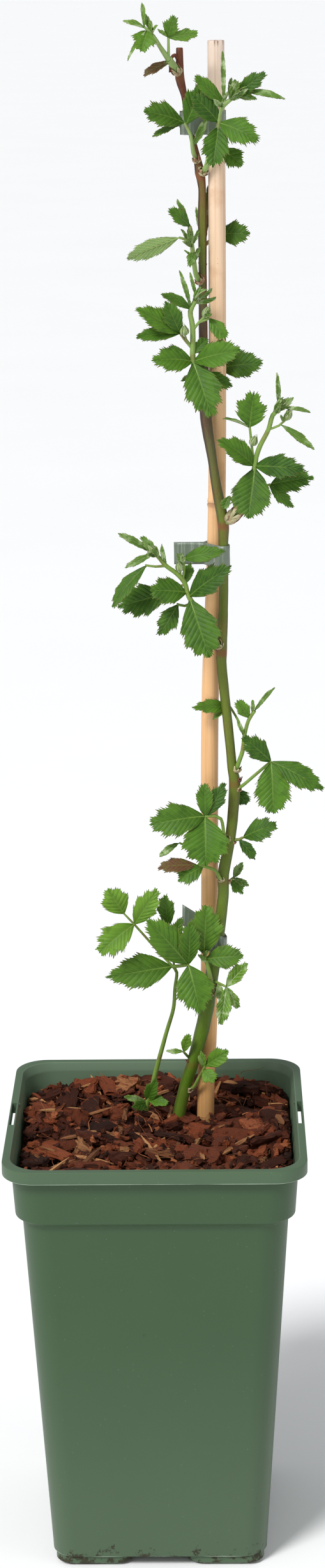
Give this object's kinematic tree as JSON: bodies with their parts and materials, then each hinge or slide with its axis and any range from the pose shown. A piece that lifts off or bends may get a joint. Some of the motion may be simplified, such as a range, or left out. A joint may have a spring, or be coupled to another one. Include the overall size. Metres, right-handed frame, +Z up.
{
  "type": "potted bramble bush",
  "caption": "Young thornless bramble in a square nursery pot: a long green stem tied to a bamboo cane, a basal sucker, toothed leaves and bark mulch.",
  "frame": {"origin": "centre of the pot's underside, in the plane the pot stands on", "axes": "+Z up along the pot, the cane and the stem; -Y towards the side that the picture shows; +X to the right seen from there"},
  "size_m": [0.16, 0.15, 0.775],
  "materials": {
    "pot_plastic": "satin moulded plastic, dark green",
    "potting_soil": "rough, dark brown",
    "bark": "rough, red-brown",
    "bamboo": "satin, pale tan",
    "stem": "satin, olive green to purple-brown",
    "leaf": "satin, mid green",
    "tape": "glossy, olive grey-green film",
    "staple": "bright wire"
  },
  "bodies": {
    "root": {"pot": "pot_plastic", "potting_soil": "potting_soil", "bark_mulch": "bark", "bamboo_cane": "bamboo", "main_stem": "stem", "shoot_01": "leaf", "shoot_02": "leaf", "shoot_03": "leaf", "shoot_04": "leaf", "shoot_05": "leaf", "shoot_06": "leaf", "shoot_07": "leaf", "shoot_08": "leaf", "shoot_09": "leaf", "shoot_10": "leaf", "shoot_11": "leaf", "shoot_12": "leaf", "shoot_13": "leaf", "shoot_14": "leaf", "shoot_15": "leaf", "shoot_16": "leaf", "shoot_17": "leaf", "shoot_18": "leaf", "shoot_19": "leaf", "shoot_20": "leaf", "sucker_shoot": "leaf", "tie_top": "tape", "tie_middle": "tape", "tie_low": "tape", "staple_top": "staple", "staple_middle": "staple", "staple_low": "staple"}
  },
  "joints": []
}
